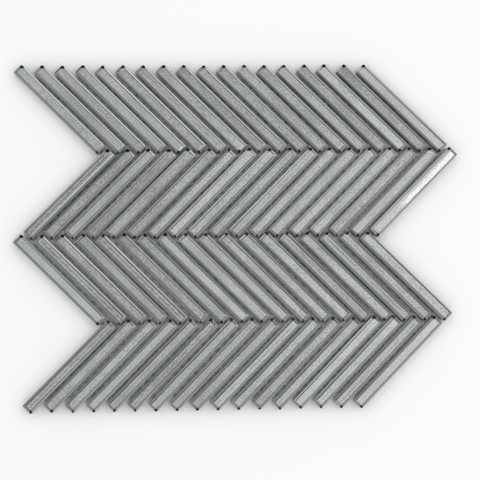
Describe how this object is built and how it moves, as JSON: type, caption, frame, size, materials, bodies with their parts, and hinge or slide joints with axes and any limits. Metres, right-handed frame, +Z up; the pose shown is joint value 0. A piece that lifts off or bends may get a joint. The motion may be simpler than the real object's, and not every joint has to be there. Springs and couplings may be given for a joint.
{
  "type": "mosaic tile",
  "caption": "Mosaic sheet of bevelled grey glass strips laid in a herringbone, held side by side on a woven glass-fibre mesh for setting on a wall.",
  "frame": {"origin": "middle of the sheet's bounding box, at the underside of the mesh", "axes": "+X along the rows of strips, +Y towards the first row, +Z up out of the glass faces"},
  "size_m": [0.3112, 0.2418, 0.0065],
  "materials": {
    "grey_glass": "glossy grey glass with a fine silvery fleck and bevelled edges",
    "mesh_yarn": "off-white coated glass-fibre yarn"
  },
  "bodies": {
    "root": {"strip_row_1": "grey_glass", "strip_row_2": "grey_glass", "strip_row_3": "grey_glass", "strip_row_4": "grey_glass", "mesh_cross_yarns": "mesh_yarn", "mesh_long_yarns": "mesh_yarn"}
  },
  "joints": []
}
